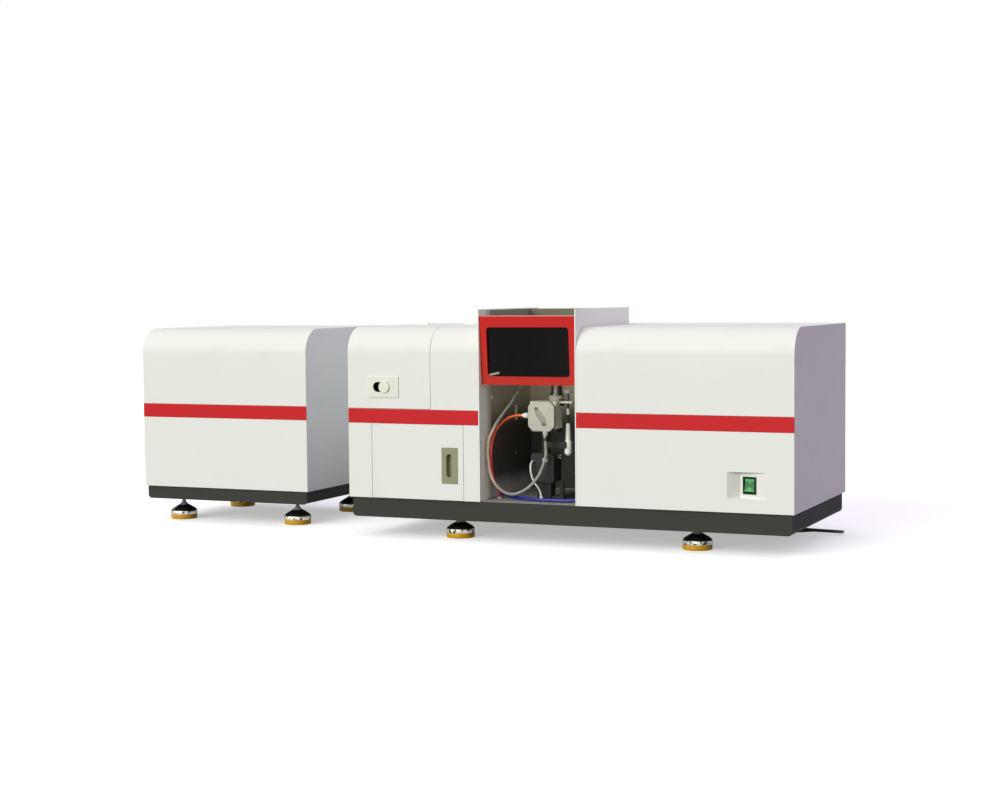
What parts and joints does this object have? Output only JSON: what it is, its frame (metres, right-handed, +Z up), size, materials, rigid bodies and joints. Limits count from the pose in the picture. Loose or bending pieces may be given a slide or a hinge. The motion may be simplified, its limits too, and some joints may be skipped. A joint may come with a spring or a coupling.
{
  "type": "atomic absorption spectrometer",
  "caption": "Benchtop flame spectrometer with a lamp cabinet, an open burner bay behind a hinged flame door, an optics cabinet, and a separate furnace power cabinet on levelling feet.",
  "frame": {"origin": "middle of the whole set's length and depth, without the mains lead, on the table", "axes": "+X to the right along the fronts of the cabinets, +Y to the back, +Z up"},
  "size_m": [1.6393, 0.5928, 0.5086],
  "materials": {
    "white_paint": "satin powder coat",
    "red_paint": "satin paint",
    "dark_paint": "satin powder coat",
    "liner_paint": "matt paint",
    "dark_glass": "dark tinted glass",
    "lamp_glass": "clear",
    "ivory_plastic": "moulded",
    "olive_plastic": "moulded",
    "black_plastic": "moulded",
    "green_plastic": "lit rocker",
    "white_plastic": "moulded",
    "clear_hose": "translucent tube",
    "orange_hose": "tube",
    "blue_hose": "tube",
    "steel": "brushed",
    "cast_alloy": "cast",
    "foot_rubber": "pad, band and bell",
    "cable_rubber": "smooth sheath",
    "transformer_steel": "varnished laminations",
    "board_laminate": "solder mask"
  },
  "bodies": {
    "cabinets": {"base_tray": "dark_paint", "power_base_tray": "dark_paint", "lift_block": "dark_paint", "lamp_housing": "white_paint", "burner_hood": "white_paint", "optics_housing": "white_paint", "main_rear_panel": "white_paint", "power_housing": "white_paint", "power_rear_panel": "white_paint", "lamp_stripe": "red_paint", "optics_stripe": "red_paint", "power_stripe": "red_paint", "bay_liner": "liner_paint", "turret_stand": "steel", "sample_tube": "white_plastic", "oxidant_hose": "clear_hose", "fuel_hose": "orange_hose", "air_hose": "blue_hose", "lamp_lens_tube": "black_plastic", "detector": "black_plastic", "switch_bezel": "black_plastic", "gas_box": "cast_alloy", "optical_bench": "cast_alloy", "monochromator": "cast_alloy", "circuit_board": "board_laminate", "mains_transformer": "transformer_steel", "furnace_transformer": "transformer_steel", "cord_gland": "cable_rubber", "mains_cord": "cable_rubber", "mains_coil": "cable_rubber", "mains_plug": "cable_rubber"},
    "lid": {"lamp_lid": "white_paint", "latch_plate": "ivory_plastic"},
    "latch": {"latch_button": "ivory_plastic"},
    "lower_door": {"gas_door": "white_paint", "gas_door_pull": "olive_plastic"},
    "flame_screen": {"flame_door": "red_paint", "flame_door_glass": "dark_glass"},
    "rocker": {"switch_rocker": "green_plastic"},
    "burner": {"lift_post": "dark_paint", "spray_chamber": "olive_plastic", "nebuliser_block": "ivory_plastic", "nebuliser": "steel", "drain_trap": "white_plastic"},
    "head": {"burner_head": "steel"},
    "clamp": {"clamp_knob": "ivory_plastic"},
    "height_wheel": {"height_knob": "steel"},
    "turret": {"lamp_turret": "cast_alloy", "lamp_1": "lamp_glass", "lamp_2": "lamp_glass", "lamp_3": "lamp_glass", "lamp_4": "lamp_glass"},
    "foot_front_left_body": {"foot_front_left": "foot_rubber"},
    "foot_front_right_body": {"foot_front_right": "foot_rubber"},
    "foot_rear_left_body": {"foot_rear_left": "foot_rubber"},
    "foot_rear_right_body": {"foot_rear_right": "foot_rubber"},
    "power_foot_front_left_body": {"power_foot_front_left": "foot_rubber"},
    "power_foot_front_right_body": {"power_foot_front_right": "foot_rubber"},
    "power_foot_rear_left_body": {"power_foot_rear_left": "foot_rubber"},
    "power_foot_rear_right_body": {"power_foot_rear_right": "foot_rubber"}
  },
  "joints": [
    {"name": "lid_hinge", "type": "hinge", "parent": "cabinets", "child": "lid", "pos_m": [-0.1035, 0.0594, 0.47], "axis": [-1, 0, 0], "range_deg": [0, 100]},
    {"name": "latch_slide", "type": "slide", "parent": "lid", "child": "latch", "axis": [1, 0, 0], "range_m": [-0.019, 0.013]},
    {"name": "gas_door_hinge", "type": "hinge", "parent": "cabinets", "child": "lower_door", "pos_m": [-0.1365, -0.2364, 0.173], "axis": [0, 0, -1], "range_deg": [0, 100]},
    {"name": "flame_door_hinge", "type": "hinge", "parent": "cabinets", "child": "flame_screen", "pos_m": [0.2285, -0.2349, 0.489], "axis": [-1, 0, 0], "range_deg": [0, 95]},
    {"name": "switch_tilt", "type": "hinge", "parent": "cabinets", "child": "rocker", "pos_m": [0.71998, -0.23058, 0.1465], "axis": [0.9812, -0.193, 0], "range_deg": [0, 16]},
    {"name": "burner_lift", "type": "slide", "parent": "cabinets", "child": "burner", "axis": [0, 0, 1], "range_m": [-0.01, 0.01], "deforming": ["oxidant_hose", "fuel_hose"]},
    {"name": "height_turn", "type": "hinge", "parent": "cabinets", "child": "height_wheel", "pos_m": [0.26, -0.1289, 0.183], "axis": [1, 0, 0], "range_deg": [-180, 180]},
    {"name": "head_turn", "type": "hinge", "parent": "burner", "child": "head", "pos_m": [0.232, -0.0759, 0.35], "axis": [0, 0, 1], "range_deg": [0, 90]},
    {"name": "clamp_turn", "type": "hinge", "parent": "burner", "child": "clamp", "pos_m": [0.2775, -0.1229, 0.327], "axis": [0, 0, 1], "range_deg": [-180, 180]},
    {"name": "turret_turn", "type": "hinge", "parent": "cabinets", "child": "turret", "pos_m": [-0.1055, -0.0759, 0.342], "axis": [1, 0, 0], "continuous": true},
    {"name": "foot_front_left_turn", "type": "hinge", "parent": "cabinets", "child": "foot_front_left_body", "pos_m": [0.0345, -0.1659, 0.03], "axis": [0, 0, 1], "continuous": true},
    {"name": "foot_front_right_turn", "type": "hinge", "parent": "cabinets", "child": "foot_front_right_body", "pos_m": [0.5865, -0.1659, 0.03], "axis": [0, 0, 1], "continuous": true},
    {"name": "foot_rear_left_turn", "type": "hinge", "parent": "cabinets", "child": "foot_rear_left_body", "pos_m": [0.0345, 0.1311, 0.03], "axis": [0, 0, 1], "continuous": true},
    {"name": "foot_rear_right_turn", "type": "hinge", "parent": "cabinets", "child": "foot_rear_right_body", "pos_m": [0.5865, 0.1311, 0.03], "axis": [0, 0, 1], "continuous": true},
    {"name": "power_foot_front_left_turn", "type": "hinge", "parent": "cabinets", "child": "power_foot_front_left_body", "pos_m": [-0.7485, -0.0909, 0.03], "axis": [0, 0, 1], "continuous": true},
    {"name": "power_foot_front_right_turn", "type": "hinge", "parent": "cabinets", "child": "power_foot_front_right_body", "pos_m": [-0.4285, -0.0909, 0.03], "axis": [0, 0, 1], "continuous": true},
    {"name": "power_foot_rear_left_turn", "type": "hinge", "parent": "cabinets", "child": "power_foot_rear_left_body", "pos_m": [-0.7485, 0.1771, 0.03], "axis": [0, 0, 1], "continuous": true},
    {"name": "power_foot_rear_right_turn", "type": "hinge", "parent": "cabinets", "child": "power_foot_rear_right_body", "pos_m": [-0.4285, 0.1771, 0.03], "axis": [0, 0, 1], "continuous": true}
  ],
  "couplings": [
    {"joint": "height_turn", "follows": "burner_lift", "rad_per_m": 314}
  ]
}
